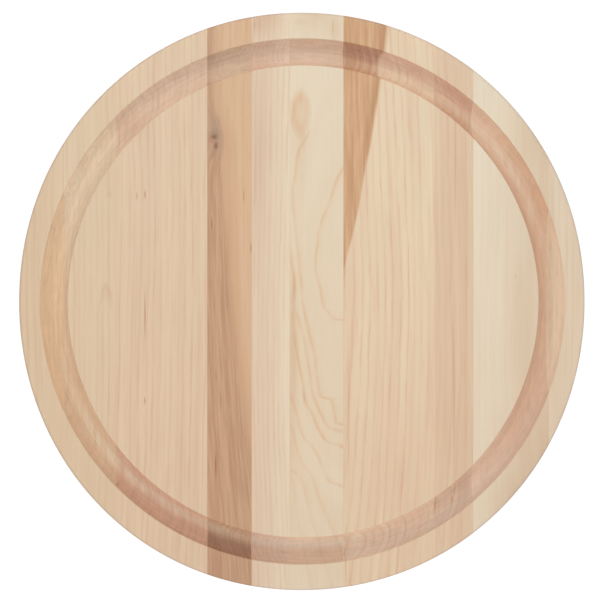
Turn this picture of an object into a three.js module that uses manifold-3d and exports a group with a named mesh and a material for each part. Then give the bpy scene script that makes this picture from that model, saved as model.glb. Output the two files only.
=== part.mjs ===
// A round cutting board, glued up from wooden staves side by side, with a ring-shaped juice groove on top.
// Millimetres, +Z up. The origin is the middle of the underside, and the grain of every stave runs along Y.
import * as THREE from 'three';
import { mergeVertices } from 'three/addons/utils/BufferGeometryUtils.js';
import Module from 'manifold-3d';

// The board. Its width across the grain is the sum of its staves, which makes the outline slightly oval.
// A fullness of 2 would be a plain ellipse: this outline stands out a little more at its diagonals.
const BOARD_LENGTH = 381;
const BOARD_THICKNESS = 25.4;
const EDGE_RADIUS = 2.4;
const OUTLINE_FULLNESS = 2.035;

// The juice groove, cut with a ball-ended cutter. The rim is the flat land outside it, where it is narrowest.
const RIM_WIDTH = 13.65;
const CUTTER_RADIUS = 9.525;
const GROOVE_DEPTH = 6.35;

// The widths of the staves from left to right, each up to the middle of its glue lines.
const LEFT_EDGE_WIDTH = 29.1;
const ARCHED_WIDTH = 33.4;
const WIDE_TAN_WIDTH = 59.8;
const HEARTWOOD_WIDTH = 29.2;
const NARROW_PALE_WIDTH = 25;
const CATHEDRAL_WIDTH = 35.5;
const WEDGED_WIDTH = 61;
const PINKISH_WIDTH = 25.4;
const WIDE_CREAM_WIDTH = 50.8;
const RIGHT_EDGE_WIDTH = 24.8;
const GLUE_THICKNESS = 0.15;

const STAVES = [
  { width: LEFT_EDGE_WIDTH, colour: '#d7be9f' },
  { width: ARCHED_WIDTH, colour: '#dbc2a4' },
  { width: WIDE_TAN_WIDTH, colour: '#ddc2a5' },
  { width: HEARTWOOD_WIDTH, colour: '#c79f80' },
  { width: NARROW_PALE_WIDTH, colour: '#e1cbb0' },
  { width: CATHEDRAL_WIDTH, colour: '#e2cdb2' },
  { width: WEDGED_WIDTH, colour: '#dfc4a6' },
  { width: PINKISH_WIDTH, colour: '#dcbea1' },
  { width: WIDE_CREAM_WIDTH, colour: '#e1cdb2' },
  { width: RIGHT_EDGE_WIDTH, colour: '#dec9af' },
];
const GLUE_COLOUR = '#b98f62';
const WOOD_ROUGHNESS = 0.6;
const GLUE_ROUGHNESS = 0.4;

// Fineness of the faceted curves, and how far the cutting shapes reach past the board.
const ROUND_STEPS = 144;
const CUTTER_STEPS = 14;
const EDGE_STEPS = 3;
const CUT_MARGIN = 10;

const boardWidth = STAVES.reduce((sum, stave) => sum + stave.width, 0);

const wasm = await Module();
wasm.setup();

function solidFrom(geometry) {
  geometry.deleteAttribute('normal');
  geometry.deleteAttribute('uv');
  const merged = mergeVertices(geometry);
  const vertProperties = merged.attributes.position.array;
  const triVerts = new Uint32Array(merged.index.array);
  return new wasm.Manifold(new wasm.Mesh({ numProp: 3, vertProperties, triVerts }));
}

function geometryFrom(solid) {
  const { vertProperties, triVerts } = solid.getMesh();
  const geometry = new THREE.BufferGeometry();
  geometry.setAttribute('position', new THREE.BufferAttribute(vertProperties, 3));
  geometry.setIndex(new THREE.BufferAttribute(triVerts, 1));
  geometry.computeVertexNormals();
  return geometry;
}

// The oval disc with its top and bottom edges rounded.
function makeBlank() {
  const acrossGrain = boardWidth / 2 - EDGE_RADIUS;
  const alongGrain = BOARD_LENGTH / 2 - EDGE_RADIUS;
  const filled = (share) => Math.sign(share) * Math.abs(share) ** (2 / OUTLINE_FULLNESS);
  const corners = Array.from({ length: ROUND_STEPS }, (_, i) => {
    const turn = (2 * Math.PI * i) / ROUND_STEPS;
    return new THREE.Vector2(acrossGrain * filled(Math.cos(turn)), alongGrain * filled(Math.sin(turn)));
  });
  const disc = new THREE.ExtrudeGeometry(new THREE.Shape(corners), {
    depth: BOARD_THICKNESS - 2 * EDGE_RADIUS,
    bevelThickness: EDGE_RADIUS,
    bevelSize: EDGE_RADIUS,
    bevelSegments: EDGE_STEPS,
  });
  disc.translate(0, 0, EDGE_RADIUS);
  return solidFrom(disc);
}

// The ring that the cutter sweeps: a ball end at the groove's floor, and straight sides up past the top face.
function makeGrooveCut() {
  const sunk = Math.min(GROOVE_DEPTH, CUTTER_RADIUS);
  const halfWidth = Math.sqrt(2 * CUTTER_RADIUS * sunk - sunk * sunk);
  const ringRadius = Math.min(boardWidth, BOARD_LENGTH) / 2 - RIM_WIDTH - halfWidth;
  const ballHeight = BOARD_THICKNESS - GROOVE_DEPTH + CUTTER_RADIUS;
  const cutTop = Math.max(ballHeight, BOARD_THICKNESS) + CUT_MARGIN;
  const section = new THREE.Path();
  section.moveTo(ringRadius + CUTTER_RADIUS, cutTop);
  section.lineTo(ringRadius - CUTTER_RADIUS, cutTop);
  section.absarc(ringRadius, ballHeight, CUTTER_RADIUS, Math.PI, 2 * Math.PI, false);
  section.closePath();
  const ring = new THREE.LatheGeometry(section.getPoints(CUTTER_STEPS / 2), ROUND_STEPS);
  ring.rotateX(Math.PI / 2);
  return solidFrom(ring);
}

// The part of the board between two planes square to X, kept in place so that neighbours share their faces.
function sliceBoard(board, fromX, toX) {
  const slab = new THREE.BoxGeometry(toX - fromX, BOARD_LENGTH + CUT_MARGIN, BOARD_THICKNESS + CUT_MARGIN);
  slab.translate((fromX + toX) / 2, 0, BOARD_THICKNESS / 2);
  return geometryFrom(board.intersect(solidFrom(slab)));
}

function makePiece(kind, number, geometry, colour, roughness) {
  const material = new THREE.MeshStandardMaterial({ color: colour, roughness, metalness: 0 });
  const piece = new THREE.Mesh(geometry, material);
  piece.name = `${kind}_${String(number).padStart(2, '0')}`;
  return piece;
}

// One stave after another from the left edge, with a glue film at each joint between two of them.
function makeBoard() {
  const group = new THREE.Group();
  const board = makeBlank().subtract(makeGrooveCut());
  const halfGlue = GLUE_THICKNESS / 2;
  const last = STAVES.length - 1;
  let jointX = -boardWidth / 2;

  STAVES.forEach(({ width, colour }, i) => {
    const fromX = i === 0 ? jointX - CUT_MARGIN : jointX + halfGlue;
    jointX += width;
    const toX = i === last ? jointX + CUT_MARGIN : jointX - halfGlue;
    const wood = sliceBoard(board, fromX, toX);
    group.add(makePiece('stave', i + 1, wood, colour, WOOD_ROUGHNESS));
    if (i < last) {
      const film = sliceBoard(board, jointX - halfGlue, jointX + halfGlue);
      group.add(makePiece('glue_line', i + 1, film, GLUE_COLOUR, GLUE_ROUGHNESS));
    }
  });
  return group;
}

export default makeBoard();
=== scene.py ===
"""A round maple cutting board: ten staves, each with its own figure, and the glue lines between them."""
import math
from dataclasses import dataclass

import bmesh
import bpy
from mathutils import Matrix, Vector


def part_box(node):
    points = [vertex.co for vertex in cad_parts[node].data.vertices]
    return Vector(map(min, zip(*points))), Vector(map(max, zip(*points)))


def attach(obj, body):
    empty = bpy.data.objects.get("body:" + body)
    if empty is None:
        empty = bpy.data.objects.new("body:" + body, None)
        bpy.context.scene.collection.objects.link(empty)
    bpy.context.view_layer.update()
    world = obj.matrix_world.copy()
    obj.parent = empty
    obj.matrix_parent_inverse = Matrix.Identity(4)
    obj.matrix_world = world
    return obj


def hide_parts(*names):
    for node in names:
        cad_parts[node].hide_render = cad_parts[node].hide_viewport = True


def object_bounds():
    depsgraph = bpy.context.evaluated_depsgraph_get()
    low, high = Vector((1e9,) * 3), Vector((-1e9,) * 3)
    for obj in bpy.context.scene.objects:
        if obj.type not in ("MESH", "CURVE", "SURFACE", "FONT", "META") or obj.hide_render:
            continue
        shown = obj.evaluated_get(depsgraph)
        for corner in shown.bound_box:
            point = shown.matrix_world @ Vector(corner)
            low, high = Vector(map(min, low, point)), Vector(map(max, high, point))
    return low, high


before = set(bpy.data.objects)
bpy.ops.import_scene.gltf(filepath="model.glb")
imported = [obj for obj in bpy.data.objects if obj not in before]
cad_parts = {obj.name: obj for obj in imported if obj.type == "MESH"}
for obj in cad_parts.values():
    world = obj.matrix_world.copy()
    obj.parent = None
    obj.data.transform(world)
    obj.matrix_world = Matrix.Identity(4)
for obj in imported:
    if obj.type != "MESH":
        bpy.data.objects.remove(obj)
cad_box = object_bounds()

# Sizes are in millimetres, and meshes are written in metres.
MM = 0.001
HALF_X = cad_box[1][0] / MM
HALF_Y = cad_box[1][1] / MM
TOP = cad_box[1][2] / MM

# The board's outline and section. A fullness of 2 would make the outline a plain ellipse.
OUTLINE_FULLNESS = 2.035
EDGE_RADIUS = 2.4
RIM_WIDTH = 13.65
CUTTER_RADIUS = 9.525
GROOVE_DEPTH = 6.35
LIP_RADIUS = 0.5
BALL_ABOVE_TOP = CUTTER_RADIUS - GROOVE_DEPTH
GROOVE_HALF_WIDTH = math.sqrt(CUTTER_RADIUS**2 - BALL_ABOVE_TOP**2)
GROOVE_RADIUS = min(HALF_X, HALF_Y) - RIM_WIDTH - GROOVE_HALF_WIDTH

# Fineness of the meshes, and how near to a cut a corner counts as on it, in metres.
ROUND_STEPS = 720
GROOVE_STEPS = 24
LIP_STEPS = 5
EDGE_STEPS = 8
CUT_TOLERANCE = 1e-7


def arc(centre, radius, start, end, steps):
    """Points along an arc in the plane of a section, between two angles in degrees."""
    points = []
    for i in range(steps + 1):
        angle = math.radians(start + (end - start) * i / steps)
        points.append((centre[0] + radius * math.cos(angle), centre[1] + radius * math.sin(angle)))
    return points


def groove_section():
    """The groove from the field to the rim as (radius, height), with eased lips."""
    reach = math.sqrt((CUTTER_RADIUS + LIP_RADIUS) ** 2 - (BALL_ABOVE_TOP + LIP_RADIUS) ** 2)
    slope = math.degrees(math.atan2(BALL_ABOVE_TOP + LIP_RADIUS, reach))
    lip_height = TOP - LIP_RADIUS
    inner_lip = arc((GROOVE_RADIUS - reach, lip_height), LIP_RADIUS, 90, slope, LIP_STEPS)
    ball = (GROOVE_RADIUS, TOP + BALL_ABOVE_TOP)
    bowl = arc(ball, CUTTER_RADIUS, 180 + slope, 360 - slope, GROOVE_STEPS)
    outer_lip = arc((GROOVE_RADIUS + reach, lip_height), LIP_RADIUS, 180 - slope, 90, LIP_STEPS)
    return inner_lip + bowl[1:] + outer_lip[1:]


def edge_section():
    """The rounded edge from the rim to the underside as (inset from the outline, height)."""
    upper = arc((0, TOP - EDGE_RADIUS), EDGE_RADIUS, 90, 0, EDGE_STEPS)
    lower = arc((0, EDGE_RADIUS), EDGE_RADIUS, 0, -90, EDGE_STEPS)
    return [(EDGE_RADIUS - across, height) for across, height in upper + lower]


def filled(share):
    """A sine or cosine, drawn out so that the outline is a little fuller than an ellipse."""
    return math.copysign(abs(share) ** (2 / OUTLINE_FULLNESS), share)


def make_board():
    """The whole board before it is cut into staves, with its flat faces kept flat-shaded."""
    board = bmesh.new()
    turns = [2 * math.pi * i / ROUND_STEPS for i in range(ROUND_STEPS)]
    circle = [(math.cos(turn), math.sin(turn)) for turn in turns]
    outline = [(filled(x), filled(y)) for x, y in circle]

    def ring(shape, reach_x, reach_y, height):
        places = [(reach_x * x, reach_y * y, height) for x, y in shape]
        return [board.verts.new(Vector(place) * MM) for place in places]

    groove = [ring(circle, radius, radius, height) for radius, height in groove_section()]
    edge = [ring(outline, HALF_X - inset, HALF_Y - inset, height) for inset, height in edge_section()]
    rings = groove + edge
    board.faces.new(rings[0])
    board.faces.new(reversed(rings[-1]))
    for inner, outer in zip(rings, rings[1:]):
        curved = outer is not edge[0]
        for i in range(ROUND_STEPS):
            j = (i + 1) % ROUND_STEPS
            face = board.faces.new((inner[i], outer[i], outer[j], inner[j]))
            face.smooth = curved
    return board


def slice_board(board, node):
    """The part of the board between a node's two sides, closed where it is cut."""
    piece = board.copy()
    low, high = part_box(node)
    for place, outwards in ((low.x, -1), (high.x, 1)):
        everything = piece.verts[:] + piece.edges[:] + piece.faces[:]
        cut = bmesh.ops.bisect_plane(
            piece,
            geom=everything,
            dist=CUT_TOLERANCE,
            plane_co=(place, 0, 0),
            plane_no=(outwards, 0, 0),
            clear_outer=True,
        )
        rim = [part for part in cut["geom_cut"] if isinstance(part, bmesh.types.BMEdge)]
        for border in rim:
            border.smooth = False
        if rim:
            bmesh.ops.edgeloop_fill(piece, edges=rim)
    bmesh.ops.recalc_face_normals(piece, faces=piece.faces[:])
    mesh = bpy.data.meshes.new(node)
    piece.to_mesh(mesh)
    piece.free()
    return mesh


def linear(hex_colour):
    """A colour written as #rrggbb, as the linear colour that shaders take."""
    channels = [int(hex_colour[i : i + 2], 16) / 255 for i in (1, 3, 5)]
    return [c / 12.92 if c <= 0.04045 else ((c + 0.055) / 1.055) ** 2.4 for c in channels] + [1]


class Field:
    """A number that a material works out at each point of a surface, with ordinary arithmetic."""

    def __init__(self, shader, socket):
        self.shader = shader
        self.socket = socket

    def __add__(self, other):
        return self.shader.math("ADD", self, other)

    def __sub__(self, other):
        return self.shader.math("SUBTRACT", self, other)

    def __rsub__(self, other):
        return self.shader.math("SUBTRACT", other, self)

    def __mul__(self, other):
        return self.shader.math("MULTIPLY", self, other)

    def __truediv__(self, other):
        return self.shader.math("DIVIDE", self, other)

    def __abs__(self):
        return self.shader.math("ABSOLUTE", self)

    __radd__ = __add__
    __rmul__ = __mul__


# Every pattern of noise lies about this middle, and a pattern's number shifts its place by these steps.
NOISE_MIDDLE = 0.5
NOISE_SHIFT = (7.31, 3.17, 5.77)

# The places of the colours among the sockets of a mix node.
FIRST_COLOUR = 6
SECOND_COLOUR = 7
MIXED_COLOUR = 2

# The strength of every surface's fine relief, and the level of its reflections.
RELIEF_STRENGTH = 0.6
REFLECTION = 0.3


@dataclass
class Noise:
    """A pattern of noise: its number, the sizes of its lumps in millimetres, and how finely they break up."""

    number: int
    sizes: tuple
    detail: float = 2.0


class Shader:
    """One material's node tree, built by short calls. A value is a number, a colour, a Field or a socket."""

    def __init__(self, name, seed=0):
        self.seed = seed
        self.material = bpy.data.materials.new(name)
        self.material.use_nodes = True
        tree = self.material.node_tree
        self.nodes = tree.nodes
        self.links = tree.links
        self.surface = self.nodes["Principled BSDF"]
        coordinates = self.nodes.new("ShaderNodeTexCoord")
        scaled = self.node("ShaderNodeVectorMath", operation="SCALE")
        self.links.new(coordinates.outputs["Object"], scaled.inputs[0])
        scaled.inputs["Scale"].default_value = 1 / MM
        self.place = scaled.outputs[0]
        self.x, self.y, self.z = self.parts(self.place)
        self.normal = self.parts(coordinates.outputs["Normal"])

    def node(self, kind, **settings):
        node = self.nodes.new(kind)
        for name, value in settings.items():
            setattr(node, name, value)
        return node

    def put(self, socket, value):
        if isinstance(value, Field):
            value = value.socket
        if isinstance(value, bpy.types.NodeSocket):
            self.links.new(value, socket)
        else:
            socket.default_value = value

    def parts(self, vector):
        node = self.node("ShaderNodeSeparateXYZ")
        self.links.new(vector, node.inputs[0])
        return [Field(self, socket) for socket in node.outputs]

    def math(self, operation, *values):
        node = self.node("ShaderNodeMath", operation=operation)
        for socket, value in zip(node.inputs, values):
            self.put(socket, value)
        return Field(self, node.outputs[0])

    def vector(self, *values):
        node = self.node("ShaderNodeCombineXYZ")
        for socket, value in zip(node.inputs, values):
            self.put(socket, value)
        return node.outputs[0]

    def step(self, value, low, high, start=0.0, end=1.0):
        """A smooth rise from start to end as a value goes from low to high."""
        node = self.node("ShaderNodeMapRange", interpolation_type="SMOOTHSTEP")
        names = ("Value", "From Min", "From Max", "To Min", "To Max")
        for name, part in zip(names, (value, low, high, start, end)):
            self.put(node.inputs[name], part)
        return Field(self, node.outputs["Result"])

    def fall(self, value, low, high):
        """A smooth fall from 1 to 0 as a value goes from low to high."""
        return self.step(value, low, high, 1, 0)

    def follow(self, value, points):
        """A smooth curve through a few given points (value, result)."""
        low, high = points[0][0], points[-1][0]
        least = min(result for _, result in points)
        span = max(result for _, result in points) - least
        across = self.node("ShaderNodeMapRange")
        self.put(across.inputs["Value"], value)
        across.inputs["From Min"].default_value = low
        across.inputs["From Max"].default_value = high
        node = self.node("ShaderNodeFloatCurve")
        self.links.new(across.outputs["Result"], node.inputs["Value"])
        curve = node.mapping.curves[0]
        # A new curve has two points, and all of them are moved to their places below.
        for _ in points[2:]:
            curve.points.new(0.5, 0.5)
        for point, (place, result) in zip(curve.points, points):
            point.location = ((place - low) / (high - low), (result - least) / span)
        node.mapping.update()
        return Field(self, node.outputs[0]) * span + least

    def noise(self, pattern, place=None):
        """Noise that differs from one pattern to the next, and from one material's seed to the next."""
        number = self.seed + pattern.number
        stretch = self.node("ShaderNodeVectorMath", operation="MULTIPLY_ADD")
        self.put(stretch.inputs[0], place or self.place)
        stretch.inputs[1].default_value = [1 / size for size in pattern.sizes]
        stretch.inputs[2].default_value = [number * shift for shift in NOISE_SHIFT]
        node = self.node("ShaderNodeTexNoise")
        self.links.new(stretch.outputs[0], node.inputs["Vector"])
        node.inputs["Scale"].default_value = 1
        node.inputs["Detail"].default_value = pattern.detail
        return Field(self, node.outputs[0])

    def sway(self, pattern, reach, place=None):
        """Noise that goes both ways about 0."""
        return (self.noise(pattern, place) - NOISE_MIDDLE) * reach

    def chance(self, value):
        """A number from 0 to 1 that is picked anew for each whole value."""
        node = self.node("ShaderNodeTexWhiteNoise", noise_dimensions="1D")
        self.put(node.inputs["W"], value)
        return Field(self, node.outputs["Value"])

    def mix(self, factor, first, second, blend="MIX"):
        node = self.node("ShaderNodeMix", data_type="RGBA", blend_type=blend)
        self.put(node.inputs["Factor"], factor)
        self.put(node.inputs[FIRST_COLOUR], first)
        self.put(node.inputs[SECOND_COLOUR], second)
        return node.outputs[MIXED_COLOUR]

    def shade(self, colour, brightness):
        """A colour times a brightness."""
        node = self.node("ShaderNodeVectorMath", operation="SCALE")
        self.put(node.inputs[0], colour)
        self.put(node.inputs["Scale"], brightness)
        return node.outputs[0]

    def spot(self, x, y, reach_x, reach_y, lean=0.0, rough=0.0):
        """1 in the middle of an oval spot on the top face, falling to 0 at its edge."""
        along = self.y - y
        across = (self.x - x - along * lean + rough) / reach_x
        along = (along + rough) / reach_y
        return self.fall(self.math("SQRT", across * across + along * along), 0, 1)

    def finish(self, colour, roughness, height):
        """Sets the surface's colour, its roughness and the height of its fine relief in millimetres."""
        bump = self.node("ShaderNodeBump")
        bump.inputs["Strength"].default_value = RELIEF_STRENGTH
        bump.inputs["Distance"].default_value = MM
        self.put(bump.inputs["Height"], height)
        self.put(self.surface.inputs["Base Color"], colour)
        self.put(self.surface.inputs["Roughness"], roughness)
        self.surface.inputs["Specular IOR Level"].default_value = REFLECTION
        self.links.new(bump.outputs[0], self.surface.inputs["Normal"])
        return self.material


@dataclass
class Stave:
    """The figure of one stave: its colours, its rings, its groove and its marks.

    The pith, the middle of its tree, lies beside or below it. Its axis leans, and bows along Y about a crest.
    Spacing is the width of a year and lines is how strong its lines are. Wander and ripple make them uneven.
    The groove takes one tint at the back and one at the front, as the fibres are cut open there, and its
    outer wall takes two more, which paint that wall's light and shade along with its colour. A turn, also
    at the back and at the front, paints that wall brighter or darker than the inner one, as painted shade.
    """

    pale: str
    tan: str
    line: str
    pith_x: float
    pith_depth: float
    spacing: float
    groove_back: tuple
    groove_front: tuple
    turn: tuple = (0.0, 0.0)
    outer_back: tuple = (1, 1, 1)
    outer_front: tuple = (1, 1, 1)
    lines: float = 0.75
    lean: float = 0.0
    crest_y: float = 0.0
    bow: float = 0.0002
    wander: float = 5.0
    ripple: tuple = (6, 18, 6)
    marks: tuple = ()


@dataclass
class Mark:
    """A darker fleck, streak or patch on the top face: its place, half width, half length and strength."""

    x: float
    y: float
    across: float
    along: float
    strength: float


STAVES = {
    "stave_01": Stave(
        pale="#dbc2a3", tan="#d8bd9e", line="#c69f7a",
        pith_x=-60, pith_depth=70, spacing=3.2,
        groove_back=(1.02, 0.94, 0.89), groove_front=(1.01, 0.9, 0.83),
        lines=0.33,
    ),
    "stave_02": Stave(
        pale="#ddc5a7", tan="#dbc1a2", line="#cda584",
        pith_x=-260, pith_depth=70, spacing=3.4,
        groove_back=(1.02, 1.02, 1.03), groove_front=(0.92, 0.82, 0.77),
        turn=(0.04, 0), lines=0.36,
        marks=(Mark(-130.5, 6, 4.5, 10, 0.09), Mark(-128.1, 69.9, 3, 4, 0.12)),
    ),
    "stave_03": Stave(
        pale="#e0c6a8", tan="#dcc1a4", line="#cf9f82",
        pith_x=-230, pith_depth=60, spacing=3.8,
        groove_back=(0.96, 0.9, 0.92), groove_front=(0.79, 0.63, 0.61),
        turn=(0, -0.05), crest_y=60, lines=0.48,
        outer_back=(1.02, 1.03, 1.05), outer_front=(1.05, 1.03, 1.01),
        marks=(
            Mark(-105.3, -9, 0.7, 24, 0.8),
            Mark(-105.3, 69.9, 0.9, 4.5, 0.7),
            Mark(-110.5, 69, 0.9, 4, 0.5),
            Mark(-105.5, -65, 0.8, 4, 0.7),
            Mark(-115, 116, 17, 17, 0.16),
        ),
    ),
    "stave_04": Stave(
        pale="#dcba99", tan="#d7b28f", line="#c4946e",
        pith_x=-3, pith_depth=50, spacing=3.0,
        groove_back=(0.9, 0.96, 1.06), groove_front=(0.76, 0.73, 0.73),
        turn=(-0.03, -0.16), lean=-0.04, lines=0.5,
        outer_back=(1.02, 0.98, 1), outer_front=(0.97, 0.89, 0.88),
        marks=(
            Mark(-61.7, 50.8, 0.7, 6, 0.6),
            Mark(-59.1, -108, 0.7, 13, 0.8),
            Mark(-59, -104, 3.5, 32, 0.22),
            Mark(-40.7, 69.3, 0.6, 7, 0.6),
            Mark(-36.1, 35, 0.7, 6, 0.6),
            Mark(-59, -48.6, 0.6, 9, 0.4),
            Mark(-55.8, -65, 0.6, 10, 0.4),
            Mark(-37, 157, 9, 9, 0.25),
        ),
    ),
    "stave_05": Stave(
        pale="#e7d5bb", tan="#e5d1b7", line="#d7ac90",
        pith_x=60, pith_depth=50, spacing=3.0,
        groove_back=(0.9, 0.79, 0.79), groove_front=(0.8, 0.68, 0.68),
        lines=0.47,
        outer_front=(0.98, 0.96, 0.94),
        marks=(
            Mark(-35.5, 0, 27, 900, 0.2),
            Mark(-33.8, 181, 1, 8, 0.35),
            Mark(-24, 190, 16, 24, 0.32),
            Mark(-31, 183, 4, 12, 0.2),
            Mark(-27, 130, 18, 125, 0.12),
            Mark(-32, 80, 8, 95, 0.17),
        ),
    ),
    "stave_06": Stave(
        pale="#e4d2b8", tan="#e2ceb2", line="#d9a675",
        pith_x=25.2, pith_depth=60, spacing=3.0,
        groove_back=(0.87, 0.74, 0.72), groove_front=(0.85, 0.73, 0.72),
        crest_y=40.3, bow=0.00053, wander=1.2, ripple=(8, 13, 8), lines=0.68,
        outer_back=(1.02, 0.97, 0.95), outer_front=(0.97, 0.95, 0.93),
        marks=(
            Mark(-1.5, 106, 3.2, 10, 0.1),
            Mark(-10, -72, 7, 110, 0.14),
            Mark(-8, 7, 2.4, 15, 0.25),
            Mark(-1, -62, 1.8, 10, 0.2),
            Mark(-7.5, -30, 5, 60, 0.2),
            Mark(-4, 105, 9, 50, 0.12),
            Mark(20, 177, 7, 16, 0.14),
            Mark(8, 190, 24, 24, 0.2),
            Mark(-3.8, 184, 7, 4, 0.1),
            Mark(18, 181, 0.8, 8, 0.3),
        ),
    ),
    "stave_07": Stave(
        pale="#e5cfb0", tan="#e2c7a9", line="#d69f80",
        pith_x=-40, pith_depth=90, spacing=3.7,
        groove_back=(0.9, 0.81, 0.79), groove_front=(0.88, 0.82, 0.84),
        turn=(-0.05, 0), crest_y=10, bow=0.00023, lines=0.48,
        outer_back=(1.06, 0.96, 0.98), outer_front=(1.01, 1.04, 1.08),
        marks=(
            Mark(28.5, -80, 0.9, 75, 0.28),
            Mark(26.5, -175, 1, 18, 0.35),
            Mark(25.6, 22, 1.3, 22, 0.4),
            Mark(28, -157, 5, 6, 0.16),
        ),
    ),
    "stave_08": Stave(
        pale="#e0c6a8", tan="#ddc0a3", line="#cf9f80",
        pith_x=20, pith_depth=60, spacing=3.8,
        groove_back=(0.87, 0.73, 0.69), groove_front=(0.87, 0.81, 0.84),
        turn=(0, 0.03), lines=0.4,
        outer_back=(1.02, 0.98, 1.01), outer_front=(1, 1.06, 1.11),
        marks=(
            Mark(99.4, 95, 0.9, 65, 0.3),
            Mark(98.6, -55, 1.3, 85, 0.3),
            Mark(106.4, 0, 1.2, 260, 0.12),
            Mark(107, 0, 10, 900, 0.06),
            Mark(95, -85, 9, 60, 0.08),
            Mark(86.8, -135, 1.2, 10, 0.4),
            Mark(100, -125, 1, 7, 0.5),
            Mark(98.4, -132, 1.8, 4, 0.35),
        ),
    ),
    "stave_09": Stave(
        pale="#e5d6be", tan="#e4d2b9", line="#dbbda0",
        pith_x=240, pith_depth=80, spacing=4.5,
        groove_back=(0.91, 0.71, 0.65), groove_front=(0.91, 0.75, 0.72),
        turn=(0, 0.02), lines=0.22,
        outer_back=(1.04, 1.05, 1.03), outer_front=(1.02, 1.07, 1.12),
        marks=(
            Mark(139.9, 16.6, 1.2, 1.8, 0.35),
            Mark(168, 0, 52, 900, 0.35),
            Mark(160, -130, 55, 95, 0.3),
            Mark(152, 112, 22, 45, 0.2),
            Mark(144, -25, 12, 80, 0.12),
            Mark(138, -138, 34, 30, 0.2),
        ),
    ),
    "stave_10": Stave(
        pale="#e0ccb2", tan="#ddc8ad", line="#cfae8e",
        pith_x=100, pith_depth=60, spacing=3.2,
        groove_back=(0.97, 0.9, 0.85), groove_front=(0.97, 0.91, 0.89),
        turn=(0.05, 0.05), lines=0.3,
        marks=(Mark(164, 10, 5, 95, 0.3),),
    ),
}

# Patterns of noise, each with a number that shifts it. A stave's own ripple has only its number here.
WAVE = Noise(0, (45, 150, 45))
RIPPLE_NUMBER = 1
BANDS = Noise(3, (6, 200, 1))
FIBRES = Noise(5, (1.3, 40, 1.3), 3)
MOTTLE = Noise(7, (18, 70, 18))
PORES = Noise(9, (0.8, 6, 0.8))
BROWN_STREAKS = Noise(11, (3.5, 90, 1))
BROWN_THREADS = Noise(13, (1.2, 30, 1), 3)
HEART_RAGGED = Noise(15, (4, 60, 4), 3)
WEDGE_RAGGED = Noise(15, (4, 40, 4))
GROOVE_STREAKS = Noise(17, (1.2, 22, 1), 3)
GROOVE_BLOTCHES = Noise(18, (4, 7, 1), 3)
GLEAM_STREAKS = Noise(19, (2.5, 40, 2.5))
UNEVEN_YEARS = Noise(20, (9, 1, 1), 1)
FADING_YEARS = Noise(21, (4, 35, 4), 3)
THREADS = Noise(22, (1.6, 40, 1))
FADING_LINES = Noise(23, (6, 16, 6))
ISLAND_STREAKS = Noise(24, (2.5, 18, 2.5))
KNOT_RAGGED = Noise(25, (1.8, 1.8, 1.8), 3)
ISLAND_RAGGED = Noise(27, (9, 14, 9))
SPECKLES = Noise(27, (1.6, 5, 1.6))
ARCH_RAGGED = Noise(28, (3, 8, 3))
GLUE_DRIFT = Noise(31, (4, 18, 4))
GLUE_GRAIN = Noise(33, (0.6, 2.5, 0.6))

# The lines of the years: how far they stray, where in a year they darken and end, and how they fade.
RIPPLE_STRAY = 1.1
UNEVEN_STRAY = 1.4
WEAKEST_YEAR = 0.3
YEAR_FADES = (0.35, 0.65, 0.3, 1.1)
YEAR_DARKENS = (0.5, 0.84)
YEAR_ENDS = (0.86, 1.0)
THREAD_RANGE = (0.5, 0.72)
THREAD_STRENGTH = 0.35


def ring_radius(s, stave):
    """How far each point lies from the pith, with the unevenness of a real tree."""
    along = s.y - stave.crest_y
    sideways = s.x - stave.pith_x - s.y * stave.lean
    above = s.z - TOP + stave.pith_depth + along * along * stave.bow
    radius = s.math("SQRT", sideways * sideways + above * above)
    wave = s.sway(WAVE, stave.wander)
    ripple = s.sway(Noise(RIPPLE_NUMBER, stave.ripple), RIPPLE_STRAY)
    return radius + wave + ripple


def ring_lines(s, radius, stave):
    """Soft dark lines where each year's growth ends, broken along the grain, and finer threads between."""
    uneven = s.sway(UNEVEN_YEARS, UNEVEN_STRAY, s.vector(radius, 0, 0))
    count = radius / stave.spacing + uneven
    part = s.math("FRACT", count)
    strength = s.chance(s.math("FLOOR", count)) * (1 - WEAKEST_YEAR) + WEAKEST_YEAR
    fading = s.step(s.noise(FADING_YEARS), *YEAR_FADES)
    years = s.step(part, *YEAR_DARKENS) * s.fall(part, *YEAR_ENDS) * strength * fading
    threads = s.step(s.noise(THREADS, s.vector(radius, s.y, 0)), *THREAD_RANGE)
    return years + threads * THREAD_STRENGTH


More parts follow.
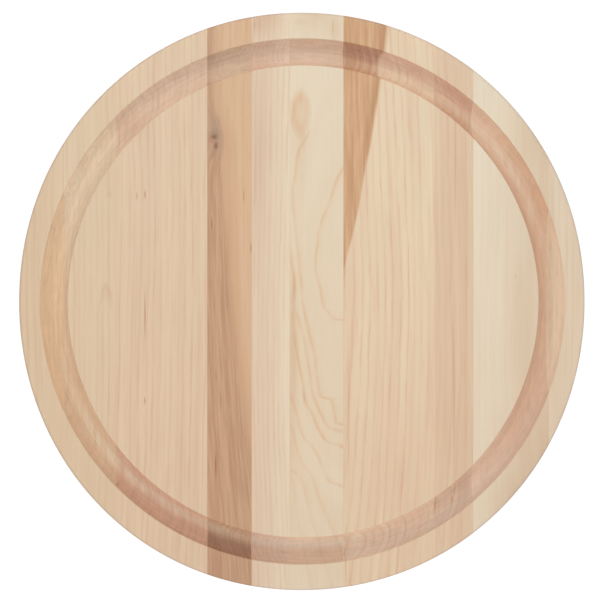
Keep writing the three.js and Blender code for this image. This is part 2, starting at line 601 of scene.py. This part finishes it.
# The cathedral figure of stave_06: each line's strength and the points that it runs through, as (y, x).
CATHEDRAL = (
    (0.75, (
        (-12.5, 27), (-11.4, 18), (-7.7, 15.3), (-3.8, 12), (1.7, 10.6), (7.8, 9.7), (14.3, 7.9), (24.4, 6.1),
        (38, 7.7), (45.6, 8.6), (52.6, 10.2), (63, 14.7), (80, 20.2), (91, 27),
    )),
    (0.8, (
        (-81.5, 27), (-80, 19.9), (-76, 18.9), (-65, 16.6), (-63, 10), (-57, 8.3), (-39, 6), (-17, 1.1),
        (-1, -2.2), (14, -3.4), (40, -6.2), (55, -7.8), (70, -8.8), (86, -7), (97, -5.4),
        (102, -3.6), (106, -1.2), (111, 1.2), (118, 2.6),
    )),
    (0.75, (
        (-87, 27), (-84.4, 18), (-83.4, 15.3), (-79.5, 12.6), (-70.3, 8), (-61.7, 4.7), (-45, 2.1),
        (-31, -0.2), (-15.6, -3.9), (-7.7, -6.2), (4, -11.5), (6, -12.5),
    )),
    (0.85, (
        (-97.5, 27), (-94, 18.6), (-92.6, 14), (-87.4, 10), (-80.8, 6.7), (-74, 4), (-65, -0.6), (-55, -1.9),
        (-42, -4.5), (-25.5, -7.2), (-13.7, -8.8), (-3, -8.2), (14, -7.8), (22, -9.1), (40, -10.5), (60, -13),
    )),
    (0.62, (
        (-123, 27), (-119.6, 17.9), (-118, 14.9), (-113, 12.3), (-106.5, 9.8), (-100, 6.7), (-95, 3.2),
        (-91, -0.6), (-85, -3.4), (-74.6, -5.9), (-65, -9.2), (-58, -12.5),
    )),
    (0.5, (
        (-172, 27), (-154.5, 19.2), (-144, 14.9), (-136, 11.3), (-126, 7.3), (-117.7, 4.7), (-111.7, 1.4),
        (-106, -2.6), (-95, -6.5), (-83.4, -9.2), (-75, -12.5),
    )),
    (0.42, (
        (-190, 18), (-175, 13), (-152, 6.7), (-137, 2.1), (-125.6, -0.6), (-116.4, -3.4),
        (-112, -9.2), (-110, -13),
    )),
    (0.3, ((-190, 4), (-152.6, -3.4), (-138, -6.5), (-123.6, -7.8), (-112, -12.5))),
)

# A cathedral line: the reach of its slope, its sharp left side, its core, its soft right side and its end.
SLOPE_REACH = 0.5
LINE_LEFT = (-1.4, 0.1)
LINE_CORE = (0.1, 2.2)
LINE_SHADE = (0.1, 6)
CORE_STRENGTH = 0.55
SHADE_STRENGTH = 0.15
LINE_FADES = (0.3, 0.65, 0.45, 1.2)
TAIL_TOP = 112
TAIL_FADE = 3

# The island above the lines: its middle, half width and half length, and its ring and fill in shares of them.
ISLAND = (-3.2, 122.8, 6.3, 15)
ISLAND_STRAY = 3
ISLAND_SPREAD = 0.1
ISLAND_STREAK_RANGE = (0.3, 0.7, 0.5, 1.3)
ISLAND_RING_RISES = (0.2, 0.8)
ISLAND_RING_FALLS = (0.85, 1.25)
ISLAND_RING_STRENGTH = 0.42
ISLAND_FILL_FALLS = (0.6, 1.3)
ISLAND_FILL_STRENGTH = 0.26
STRONGER_LEFT = (-0.6, 0.8, 1.25, 0.75)
WEAKER_BELOW = (-1, -0.3, 0.5, 1)


def line_beside(s, points):
    """A dark line through given points (y, x), sharper on its left side than on its right."""
    before = s.follow(s.y - SLOPE_REACH, points)
    after = s.follow(s.y + SLOPE_REACH, points)
    slope = after - before
    level = s.math("SQRT", slope * slope + 1)
    right = (s.x - (before + after) / 2) / level
    left_side = s.step(right, *LINE_LEFT)
    core = left_side * s.fall(right, *LINE_CORE)
    shade = left_side * s.fall(right, *LINE_SHADE)
    return core * CORE_STRENGTH + shade * SHADE_STRENGTH


def island(s):
    """The small oval where the saw just met the next year, with a darker ring."""
    x, y, across, along = ISLAND
    high = (s.y - y) / along
    wide = (s.x - x + s.sway(ISLAND_RAGGED, ISLAND_STRAY)) / across / (1 + high * ISLAND_SPREAD)
    away = s.math("SQRT", wide * wide + high * high)
    streaks = s.step(s.noise(ISLAND_STREAKS), *ISLAND_STREAK_RANGE)
    ring = s.step(away, *ISLAND_RING_RISES) * s.fall(away, *ISLAND_RING_FALLS) * streaks
    fill = s.fall(away, *ISLAND_FILL_FALLS)
    shape = ring * ISLAND_RING_STRENGTH + fill * ISLAND_FILL_STRENGTH
    return shape * s.step(wide, *STRONGER_LEFT) * s.step(high, *WEAKER_BELOW)


def cathedral_lines(s):
    """The few strong lines of a flat-sawn stave, which close round its middle, and the island above."""
    total = 0.0
    for strength, points in CATHEDRAL:
        line = line_beside(s, points) * strength
        total = s.math("MAXIMUM", total, line * s.fall(s.y, TAIL_TOP, TAIL_TOP + TAIL_FADE))
    fading = s.step(s.noise(FADING_LINES), *LINE_FADES)
    return s.math("MAXIMUM", total * fading, island(s))


# The one faint arch of stave_02: the place of its top, how fast its legs fall away, and where it fades.
ARCH_X = -130.6
ARCH_Y = 12
ARCH_FALL = 0.63
ARCH_STRAY = 2.4
ARCH_RISES = (-1, 0.9)
ARCH_FALLS = (0.9, 4.5)
ARCH_FADES = (-26, -6)
ARCH_STRENGTH = 0.3


def arch(s, colour):
    """The one faint arch of stave_02."""
    aside = s.x - ARCH_X
    steep = s.math("SQRT", aside * aside * (2 * ARCH_FALL) ** 2 + 1)
    under = (ARCH_Y - s.y - aside * aside * ARCH_FALL) / steep + s.sway(ARCH_RAGGED, ARCH_STRAY)
    line = s.step(under, *ARCH_RISES) * s.fall(under, *ARCH_FALLS) * s.step(s.y - ARCH_Y, *ARCH_FADES)
    return s.mix(line * ARCH_STRENGTH, colour, linear(STAVES["stave_02"].line))


# Brown heartwood is part long streaks and part finer threads, between a pale and a dark brown.
STREAK_SHARE = 0.4
BROWN_RANGE = (0.34, 0.66)

# The heartwood of stave_04: where its edge runs, as (y, x), how it slants downwards, and its soft border.
HEART_EDGE = (
    (-190, -22), (-117, -32), (-85, -38), (-62, -41.5), (-20, -46.5), (16, -50.5), (48, -52.3), (90, -55.3),
    (103, -54), (116, -56.7), (127, -59.5), (142, -60.8), (160, -61.2), (190, -60.8),
)
HEART_BROWN = ("#cba484", "#b98f71")
HEART_STRAY = 5
HEART_SLANT = 0.55
HEART_BLUR = (15, 60, 1, 3)
HEART_BORDER = "#cda482"
HEART_BORDER_RANGE = (-13, 0)
HEART_BORDER_STRENGTH = 0.9


@dataclass
class KnotSpot:
    """A soft spot of the knot: its place from the knot's middle, half width, half length and strength."""

    x: float
    y: float
    across: float
    along: float
    strength: float
    colour: str
    lean: float = 0.0
    ragged: float = 1.0


# The knot of stave_04, from its halo to the dark eyes that lie on top, and how far it pushes the grain aside.
KNOT_X = -60.1
KNOT_Y = 105.3
KNOT_PUSH = 3
KNOT_PUSH_REACH = (16, 30)
KNOT_STRAY = 1.8
KNOT_SPOTS = (
    KnotSpot(0.5, 4, 7.5, 20, 0.75, "#b0937d", ragged=2),
    KnotSpot(0, 3.5, 5, 7, 0.6, "#9a7a64", ragged=2),
    KnotSpot(-0.4, -8, 2.2, 8, 0.5, "#a07b60", lean=0.4),
    KnotSpot(-1.5, 0, 3.8, 2, 0.9, "#bd876c"),
)
KNOT_EYES = (
    KnotSpot(0, 2.6, 3.4, 2.4, 0.85, "#845a42"),
    KnotSpot(1.1, -3.1, 2.3, 3.4, 0.85, "#845a42"),
)


def brown_grain(s, across, colours):
    """Brown heartwood with long soft streaks, by the distance across its grain."""
    place = s.vector(across, s.y, 0)
    share = s.noise(BROWN_STREAKS, place) * STREAK_SHARE + s.noise(BROWN_THREADS, place) * (1 - STREAK_SHARE)
    pale, dark = colours
    return s.mix(s.step(share, *BROWN_RANGE), linear(pale), linear(dark))


def knot(s, colour):
    """The small knot of stave_04, with ragged soft edges."""
    rough = s.sway(KNOT_RAGGED, KNOT_STRAY)

    def strength(spot):
        place = (KNOT_X + spot.x, KNOT_Y + spot.y, spot.across, spot.along)
        return s.spot(*place, spot.lean, rough * spot.ragged) * spot.strength

    for spot in KNOT_SPOTS:
        colour = s.mix(strength(spot), colour, linear(spot.colour))
    upper, lower = KNOT_EYES
    return s.mix(s.math("MAXIMUM", strength(upper), strength(lower)), colour, linear(upper.colour))


def heartwood(s, colour):
    """The brown side of stave_04 and the small knot that its grain runs round."""
    slanted = s.x + (TOP - s.z) * HEART_SLANT
    inside = s.follow(s.y, HEART_EDGE) - slanted + s.sway(HEART_RAGGED, HEART_STRAY)
    border = s.step(inside, *HEART_BORDER_RANGE) * HEART_BORDER_STRENGTH
    colour = s.mix(border, colour, linear(HEART_BORDER))
    across = (inside - slanted) / 2 + s.spot(KNOT_X, KNOT_Y, *KNOT_PUSH_REACH) * KNOT_PUSH
    blur = s.step(abs(s.y - KNOT_Y), *HEART_BLUR)
    colour = s.mix(s.step(inside, blur * -1, blur), colour, brown_grain(s, across, HEART_BROWN))
    return knot(s, colour)


# The brown wedge of stave_07: where its edge runs, as (y, x), its dark border, and its tints in the groove,
# which paint highlights there.
WEDGE_EDGE = (
    (12, 21.5), (22, 25.2), (30, 27.5), (40, 29.9), (54, 33.4), (80, 38), (106, 43.4), (126, 46.6),
    (146, 49.8), (191, 55.5),
)
WEDGE_BROWN = ("#d8b08a", "#c59871")
WEDGE_STRAY = 1.5
WEDGE_SLANT = 0.5
WEDGE_BLUR = (120, 180, 0.9, 2.2)
WEDGE_BORDER = "#ad7b57"
WEDGE_BORDER_RISES = (0.3, 1.5)
WEDGE_BORDER_FALLS = (2, 7)
WEDGE_BORDER_STARTS = (60, 130)
WEDGE_BORDER_STRENGTH = 0.5
WEDGE_WALLS = (-2, 1)
WEDGE_INNER_TINT = (0.96, 1.04, 1.16, 1)
WEDGE_OUTER_TINT = (0.87, 0.93, 1.05, 1)


def wedge(s, colour):
    """The brown wedge at the upper left of stave_07, with a darker streak on its right near the rim."""
    offset, sunk = groove_place(s)
    slanted = (TOP - s.z) * WEDGE_SLANT
    inside = s.follow(s.y, WEDGE_EDGE) - s.x + s.sway(WEDGE_RAGGED, WEDGE_STRAY) - slanted
    border = s.step(inside, *WEDGE_BORDER_RISES) * s.fall(inside, *WEDGE_BORDER_FALLS)
    border = border * s.step(s.y, *WEDGE_BORDER_STARTS) * (1 - sunk) * WEDGE_BORDER_STRENGTH
    brown = s.mix(border, brown_grain(s, s.x - slanted, WEDGE_BROWN), linear(WEDGE_BORDER))
    # Painted highlights in the groove: a pale one on the inner wall and a grey gleam on the darker outer
    # wall.
    tint = s.mix(s.step(offset, *WEDGE_WALLS), WEDGE_INNER_TINT, WEDGE_OUTER_TINT)
    brown = s.mix(sunk, brown, tint, "MULTIPLY")
    blur = s.step(s.y, *WEDGE_BLUR)
    return s.mix(s.step(inside, blur * -1, blur), colour, brown)


EXTRAS = {"stave_02": arch, "stave_04": heartwood, "stave_07": wedge}

# Where the groove's cut wood begins: its depth below the top face, and the reach past its sides and floor.
SUNK_FROM = (0.1, 0.9)
GROOVE_REACH = (1, 2)

# The groove's painted shading across its section, as (millimetres outside its middle line, brightness).
GROOVE_PROFILE = ((-10, 1), (-5, 1), (-3, 1.01), (0, 1.01), (2, 0.97), (4, 0.97), (6, 1), (10, 1))

# Where the front of the board turns into its back, along Y.
BACK_RANGE = (-90, 90)

# What the groove's painted light and shade add to its brightness on its walls and at its lips, and its
# fibres' streaks and blotches.
FRONT_WALL_LIGHT = 0.06
BACK_WALL_LIGHT = 0.15
FRONT_BOTH_WALLS_LIGHT = 0.16
TURN_RANGE = (-4.5, 4.5, -1, 1)
OUTER_LIP = (5, 9)
OUTER_LIP_STARTS = (-150, -60)
OUTER_LIP_LIGHT = 0.1
INNER_LIP = (-9, -4)
INNER_LIP_LIGHT = 0.07
STREAK_CONTRAST = 0.3
BLOTCH_CONTRAST = 0.16

# The outer wall, the reddish inner lip, mostly at the back right, and a painted grey sheen at the front,
# mostly on the left.
OUTER_WALL = (-1, 4)
RED_LIP = (-8.5, -5)
RED_LIP_X = (-60, 20)
RED_LIP_Y = (0, 120)
RED_LIP_BLOTCHES = (0.35, 0.6, 0.3, 0.8)
RED_LIP_TINT = (0.9, 0.8, 0.75, 1)
SHEEN_OFFSET = -4
SHEEN_REACH = (1, 5)
SHEEN_X = (15, 60)
SHEEN_Y = (-120, -60)
SHEEN_TINT = (0.97, 1.06, 1.1, 1)

# The painted shine where the groove cuts the fibres slantwise, painted light on the outer wall at the front
# right, and the specks.
SLANTWISE = (0.1, 0.4)
SLANTWISE_ENDS = (100, 160, 1, 0.35)
GLEAM_COLOUR = "#dccab0"
GLEAM_INSET = (50, 130, 4, 1)
GLEAM_REACH = (0.5, 4.5)
GLEAM_STREAK_RANGE = (0.4, 0.62, 0.2, 1)
GLEAM_STRENGTH = 0.55
LIT_WALL_COLOUR = "#cdb29e"
LIT_WALL_SLANT = (-0.45, -0.15)
LIT_WALL_OFFSETS = (3, 7)
LIT_WALL_STRENGTH = 0.3
SPECK_COLOUR = "#96755c"
SPECK_RANGE = (0.45, 0.75)
SPECK_WALL = (0, 5)
SPECK_STRENGTH = (-2500, 0, 0.14, 0.1)

# Painted shade, greyer and bluer, on the rounded edge: how far outside the groove it begins, and from steep
# to level.
EDGE_STARTS = (2, 3)
EDGE_LEVEL = (0.6, 0.97)
EDGE_SHADE_TINT = (0.84, 0.82, 0.9, 1)


def groove_place(s):
    """How far each point lies outside the groove's middle line, and 1 where it lies in the groove."""
    offset = s.math("SQRT", s.x * s.x + s.y * s.y) - GROOVE_RADIUS
    depth = TOP - s.z
    near = s.fall(abs(offset) - GROOVE_HALF_WIDTH, *GROOVE_REACH)
    above = s.fall(depth - GROOVE_DEPTH, *GROOVE_REACH)
    return offset, near * s.step(depth, *SUNK_FROM) * above


def along_groove(s, offset):
    """The place of each point across the groove and along it, in millimetres."""
    return s.vector(offset, s.math("ARCTAN2", s.y, s.x) * GROOVE_RADIUS, 0)


def groove_shading_and_fibres(s, offset, back, blotches, stave):
    """Painted light and shade by the groove's section, walls and lips, and the streaks and blotches of its
    fibres.
    """
    front = 1 - back
    outwards = s.normal[1] * s.y / GROOVE_RADIUS
    walls = outwards * (FRONT_WALL_LIGHT + back * (BACK_WALL_LIGHT - FRONT_WALL_LIGHT))
    both_walls = abs(outwards) * front * FRONT_BOTH_WALLS_LIGHT
    turn_back, turn_front = stave.turn
    # The stave's turn: painted light and shade on the outer wall against the inner one.
    turn = s.step(offset, *TURN_RANGE) * (turn_front + back * (turn_back - turn_front))
    outer_lip = s.step(offset, *OUTER_LIP) * s.step(s.y, *OUTER_LIP_STARTS) * OUTER_LIP_LIGHT
    inner_lip = s.fall(offset, *INNER_LIP) * front * INNER_LIP_LIGHT
    streaks = s.sway(GROOVE_STREAKS, STREAK_CONTRAST, along_groove(s, offset))
    blotched = (blotches - NOISE_MIDDLE) * BLOTCH_CONTRAST
    profile = s.follow(offset, GROOVE_PROFILE)
    return profile + walls + both_walls + turn + outer_lip + inner_lip + streaks + blotched


def groove_tint(s, colour, offset, sunk, stave):
    """The groove's cut wood, in the tints of the stave, its two walls and its inner lip, with painted light,
    shade and sheen.
    """
    back = s.step(s.y, *BACK_RANGE)
    blotches = s.noise(GROOVE_BLOTCHES, along_groove(s, offset))
    tint = s.mix(back, (*stave.groove_front, 1), (*stave.groove_back, 1))
    # Painted light and shade on the groove's walls and lips, with the streaks and blotches of its fibres.
    tint = s.shade(tint, groove_shading_and_fibres(s, offset, back, blotches, stave))
    colour = s.mix(sunk, colour, tint, "MULTIPLY")
    # The outer wall's tints: its colour together with painted light and shade.
    outer = s.mix(back, (*stave.outer_front, 1), (*stave.outer_back, 1))
    colour = s.mix(sunk * s.step(offset, *OUTER_WALL), colour, outer, "MULTIPLY")
    lip = s.fall(offset, *RED_LIP) * s.step(s.y, *RED_LIP_Y) * s.step(s.x, *RED_LIP_X)
    colour = s.mix(sunk * lip * s.step(blotches, *RED_LIP_BLOTCHES), colour, RED_LIP_TINT, "MULTIPLY")
    # A painted grey sheen on the inner wall at the front, mostly on the left.
    front_sheen = s.fall(abs(offset - SHEEN_OFFSET), *SHEEN_REACH) * s.fall(s.x, *SHEEN_X) * s.fall(s.y, *SHEEN_Y)
    colour = s.mix(sunk * front_sheen, colour, SHEEN_TINT, "MULTIPLY")
    return groove_sheen_light_and_specks(s, colour, offset, sunk, back)


def groove_sheen_light_and_specks(s, colour, offset, sunk, back):
    """The painted shine, the painted light on the front right outer wall and the specks of the groove, by how
    it crosses the grain.
    """
    quadrant = s.x * s.y
    slant = quadrant / GROOVE_RADIUS**2
    slantwise = s.step(slant, *SLANTWISE) * s.step(abs(s.y), *SLANTWISE_ENDS)
    inset = s.step(abs(s.x), *GLEAM_INSET)
    gleam = s.fall(abs(offset + inset), *GLEAM_REACH) * s.step(s.noise(GLEAM_STREAKS), *GLEAM_STREAK_RANGE)
    # Painted shine along the groove's floor where it cuts the fibres slantwise.
    colour = s.mix(sunk * slantwise * gleam * GLEAM_STRENGTH, colour, linear(GLEAM_COLOUR))
    # Painted light on the outer wall at the front right.
    lit_wall = s.fall(slant, *LIT_WALL_SLANT) * s.step(offset, *LIT_WALL_OFFSETS) * (1 - back)
    colour = s.mix(sunk * lit_wall * LIT_WALL_STRENGTH, colour, linear(LIT_WALL_COLOUR))
    specks = s.step(s.noise(SPECKLES), *SPECK_RANGE) * s.step(offset, *SPECK_WALL) * back
    return s.mix(sunk * specks * s.step(quadrant, *SPECK_STRENGTH), colour, linear(SPECK_COLOUR))


def edge_shade(s, colour, offset):
    """Painted shade, greyer and bluer, on the rounded edge and the side."""
    outer = s.step(offset - GROOVE_HALF_WIDTH, *EDGE_STARTS)
    rounded = s.fall(abs(s.normal[2]), *EDGE_LEVEL)
    return s.mix(outer * rounded, colour, EDGE_SHADE_TINT, "MULTIPLY")


# All staves: the contrast of their bands, fibres and pores, more so where the groove cuts their fibres open.
BAND_RANGE = (0.36, 0.64)
PORE_RANGE = (0.6, 0.75)
FIBRE_CONTRAST = 0.08
SUNK_FIBRE_CONTRAST = 0.08
MOTTLE_CONTRAST = 0.06
PORE_DARKNESS = 0.03
SUNK_LINE_DARKNESS = 0.18
SUNK_LINE_LOSS = 0.6

# The light of the whole board from its front to its back, as (y, brightness), and its warmth there.
BOARD_LIGHT = ((-190, 0.93), (-100, 0.975), (0, 1), (190, 1.01))
FRONT_TONE = (1, 0.975, 0.96, 1)
BACK_TONE = (1, 1.02, 1.03, 1)

# The surface of the wood: its roughness and what adds to it, and the height of its relief in millimetres.
WOOD_ROUGHNESS = 0.52
FIBRE_ROUGHNESS = 0.12
PORE_ROUGHNESS = 0.1
END_GRAIN_ROUGHNESS = 0.12
FIBRE_HEIGHT = 0.04
PORE_DEPTH = 0.03
LINE_DEPTH = 0.01

# The cured glue.
GLUE_COLOURS = ("#d2ae86", "#dcbd99")
GLUE_BRIGHTNESS = 0.96
GLUE_CONTRAST = 0.08
GLUE_ROUGHNESS = 0.35
GLUE_ROUGHER = 0.15
GLUE_HEIGHT = 0.02


def wood(node, seed):
    """One stave's material: solid maple with growth lines, fibres, pores and its own groove tint."""
    stave = STAVES[node]
    s = Shader(f"maple_{node}", seed)
    radius = ring_radius(s, stave)
    offset, sunk = groove_place(s)
    bands = s.step(s.noise(BANDS, s.vector(radius, s.y, 0)), *BAND_RANGE)
    colour = s.mix(bands, linear(stave.pale), linear(stave.tan))
    if node == "stave_06":
        lines = cathedral_lines(s)
    else:
        lines = ring_lines(s, radius, stave)
    colour = s.mix(lines * (1 - sunk * SUNK_LINE_LOSS) * stave.lines, colour, linear(stave.line))
    if node in EXTRAS:
        colour = EXTRAS[node](s, colour)

    for mark in stave.marks:
        spot = s.spot(mark.x, mark.y, mark.across, mark.along) * mark.strength
        colour = s.mix(spot, colour, linear(stave.line), "MULTIPLY")

    fibres = s.noise(FIBRES)
    pores = s.step(s.noise(PORES), *PORE_RANGE)
    brightness = s.follow(s.y, BOARD_LIGHT) + s.sway(MOTTLE, MOTTLE_CONTRAST)
    brightness = brightness + (fibres - NOISE_MIDDLE) * (FIBRE_CONTRAST + sunk * SUNK_FIBRE_CONTRAST)
    brightness = brightness - pores * PORE_DARKNESS - lines * sunk * stave.lines * SUNK_LINE_DARKNESS
    warmth = s.mix(s.step(s.y, -HALF_Y, HALF_Y), FRONT_TONE, BACK_TONE)
    colour = s.mix(1, s.shade(colour, brightness), warmth, "MULTIPLY")

    colour = groove_tint(s, colour, offset, sunk, stave)
    colour = edge_shade(s, colour, offset)

    end_grain = abs(s.normal[1])
    fuzz = fibres * FIBRE_ROUGHNESS + pores * PORE_ROUGHNESS
    roughness = WOOD_ROUGHNESS + fuzz + end_grain * END_GRAIN_ROUGHNESS
    height = (fibres - NOISE_MIDDLE) * FIBRE_HEIGHT - pores * PORE_DEPTH - lines * LINE_DEPTH
    return s.finish(colour, roughness, height)


def glue():
    """A thin film of cured wood glue, a little darker and smoother than the maple on both sides."""
    s = Shader("cured_glue")
    dark, pale = GLUE_COLOURS
    grain = s.noise(GLUE_GRAIN)
    colour = s.mix(s.noise(GLUE_DRIFT), linear(dark), linear(pale))
    colour = s.shade(colour, GLUE_BRIGHTNESS + grain * GLUE_CONTRAST)
    return s.finish(colour, GLUE_ROUGHNESS + grain * GLUE_ROUGHER, (grain - NOISE_MIDDLE) * GLUE_HEIGHT)


def add_piece(name, mesh, material, node):
    mesh.materials.append(material)
    piece = bpy.data.objects.new(name, mesh)
    bpy.context.scene.collection.objects.link(piece)
    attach(piece, "root")
    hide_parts(node)


whole_board = make_board()
glue_material = glue()
for number, node in enumerate(sorted(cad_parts)):
    material = wood(node, number) if node in STAVES else glue_material
    kind = "maple" if node in STAVES else "cured"
    add_piece(f"{kind}_{node}", slice_board(whole_board, node), material, node)
whole_board.free()

# The studio: a white floor just below the board, with its own glow and shadow, and soft light from above.
FLOOR_REACH = 4000
FLOOR_CELLS = 8
FLOOR_DROP = 0.1
PAPER_GREY = 0.8
SHADOW_GREY = 0.2
FLOOR_GLOW = 0.88
SKY_LIGHT = 0.5

# The softboxes: their size, distance and height, and where each one stands and its share of the light.
SOFTBOX_SIZE = 550
SOFTBOX_DISTANCE = 1100
SOFTBOX_HEIGHT = 860
SOFTBOXES = (
    ("softbox_back", (0, 1), 0.17),
    ("softbox_front", (0, -1), 0.17),
    ("softbox_left", (-1, 0), 0.1),
    ("softbox_right", (1, 0), 0.07),
)

# The camera, in millimetres and degrees.
CAMERA_TILT = 3.8
CAMERA_DISTANCE = 960
CAMERA_TARGET = (-3.75, 0.95, TOP)
CAMERA_LENS = 87.5
CAMERA_SENSOR = 36


def add_floor():
    """A white floor that keeps the board's soft shadow and lights the board like pale paper."""
    bm = bmesh.new()
    bmesh.ops.create_grid(bm, x_segments=FLOOR_CELLS, y_segments=FLOOR_CELLS, size=FLOOR_REACH * MM)
    mesh = bpy.data.meshes.new("floor")
    bm.to_mesh(mesh)
    bm.free()
    floor = bpy.data.objects.new("floor", mesh)
    floor.location.z = -FLOOR_DROP * MM
    bpy.context.scene.collection.objects.link(floor)

    s = Shader("paper_floor")
    nodes = s.nodes
    paper = nodes.new("ShaderNodeBsdfDiffuse")
    paper.inputs["Color"].default_value = (PAPER_GREY, PAPER_GREY, PAPER_GREY, 1)
    shadow = nodes.new("ShaderNodeBsdfDiffuse")
    shadow.inputs["Color"].default_value = (SHADOW_GREY, SHADOW_GREY, SHADOW_GREY, 1)
    glow = nodes.new("ShaderNodeEmission")
    glow.inputs["Strength"].default_value = FLOOR_GLOW
    seen = nodes.new("ShaderNodeAddShader")
    s.links.new(shadow.outputs[0], seen.inputs[0])
    s.links.new(glow.outputs[0], seen.inputs[1])
    choice = nodes.new("ShaderNodeMixShader")
    s.links.new(seen_directly(nodes, s.links), choice.inputs[0])
    s.links.new(paper.outputs[0], choice.inputs[1])
    s.links.new(seen.outputs[0], choice.inputs[2])
    s.links.new(choice.outputs[0], nodes["Material Output"].inputs["Surface"])
    nodes.remove(s.surface)
    mesh.materials.append(s.material)


def seen_directly(nodes, links):
    """1 for what the camera sees, straight on or in a reflection, and 0 for the light itself."""
    path = nodes.new("ShaderNodeLightPath")
    total = path.outputs["Is Camera Ray"]
    for name in ("Is Glossy Ray", "Is Transmission Ray"):
        joined = nodes.new("ShaderNodeMath")
        joined.operation = "MAXIMUM"
        links.new(total, joined.inputs[0])
        links.new(path.outputs[name], joined.inputs[1])
        total = joined.outputs[0]
    return total


def add_sky():
    world = bpy.data.worlds.new("studio")
    world.use_nodes = True
    bpy.context.scene.world = world
    nodes = world.node_tree.nodes
    links = world.node_tree.links
    background = nodes["Background"]
    background.inputs["Color"].default_value = (1, 1, 1, 1)
    level = nodes.new("ShaderNodeMapRange")
    level.inputs["To Min"].default_value = SKY_LIGHT
    level.inputs["To Max"].default_value = 1
    links.new(seen_directly(nodes, links), level.inputs["Value"])
    links.new(level.outputs[0], background.inputs["Strength"])


def add_softbox(name, side, share):
    """A square lamp that aims at the board's middle and gives it a share of its light, of about 1 in all."""
    lamp = bpy.data.lights.new(name, "AREA")
    lamp.size = SOFTBOX_SIZE * MM
    place = Vector((side[0] * SOFTBOX_DISTANCE, side[1] * SOFTBOX_DISTANCE, SOFTBOX_HEIGHT))
    aim = Vector((0, 0, TOP)) - place
    distance = aim.length * MM
    slant = -aim.normalized().z
    lamp.energy = share * (math.pi * distance) ** 2 / slant
    box = bpy.data.objects.new(name, lamp)
    box.location = place * MM
    box.rotation_euler = aim.to_track_quat("-Z", "Y").to_euler()
    bpy.context.scene.collection.objects.link(box)


def add_camera():
    """Looks down on the board, a little from the left, as the photograph does."""
    tilt = math.radians(CAMERA_TILT)
    camera = bpy.data.cameras.new("camera")
    camera.lens = CAMERA_LENS
    camera.sensor_width = CAMERA_SENSOR
    eye = bpy.data.objects.new("camera", camera)
    away = Vector((-math.sin(tilt), 0, math.cos(tilt)))
    eye.location = (Vector(CAMERA_TARGET) + away * CAMERA_DISTANCE) * MM
    eye.rotation_euler = (0, -tilt, 0)
    bpy.context.scene.collection.objects.link(eye)
    bpy.context.scene.camera = eye


add_floor()
add_sky()
for name, side, share in SOFTBOXES:
    add_softbox(name, side, share)
add_camera()
bpy.context.scene.view_settings.view_transform = "Standard"
